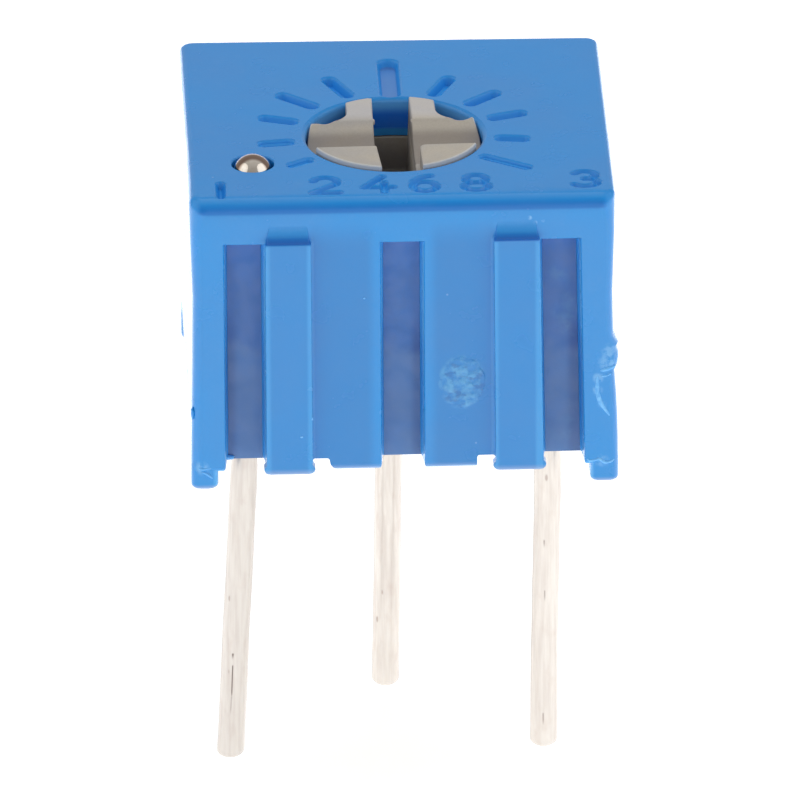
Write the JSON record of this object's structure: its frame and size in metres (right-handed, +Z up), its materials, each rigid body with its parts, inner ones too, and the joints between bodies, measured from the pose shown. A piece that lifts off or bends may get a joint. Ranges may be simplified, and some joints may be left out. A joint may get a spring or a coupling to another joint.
{
  "type": "trimmer potentiometer",
  "caption": "Square single-turn trimmer potentiometer with a slotted rotor in a marked dial on top and three straight round leads below.",
  "frame": {"origin": "centre of the body's plan, on the seating plane under its four feet", "axes": "+Z up out of the dial, +X to the right seen from the ribbed front, +Y to the back"},
  "size_m": [0.007, 0.0067, 0.0107],
  "materials": {
    "housing": "moulded, semi-gloss",
    "rotor": "moulded, matte",
    "ring": "matte",
    "wiper": "plated spring sheet",
    "ceramic": "unglazed",
    "track": "fired film",
    "film": "fired silver film",
    "tinned_wire": "tinned, pitted",
    "solder": "dull",
    "potting": "cast resin",
    "ball": "bright"
  },
  "bodies": {
    "base": {"housing": "housing", "ceramic_plate": "ceramic", "resistive_track": "track", "collector": "film", "end_pad_1": "film", "end_pad_3": "film", "lead_1": "tinned_wire", "lead_2": "tinned_wire", "lead_3": "tinned_wire", "solder_1": "solder", "solder_2": "solder", "solder_3": "solder", "potting": "potting", "vent_ball": "ball"},
    "dial": {"rotor": "rotor", "o_ring": "ring", "wiper": "wiper"}
  },
  "joints": [
    {"name": "rotor_turn", "type": "hinge", "parent": "base", "child": "dial", "pos_m": [-0.00003, -0.00067, 0.00521], "axis": [0, 0, 1], "range_deg": [-135, 135]}
  ]
}
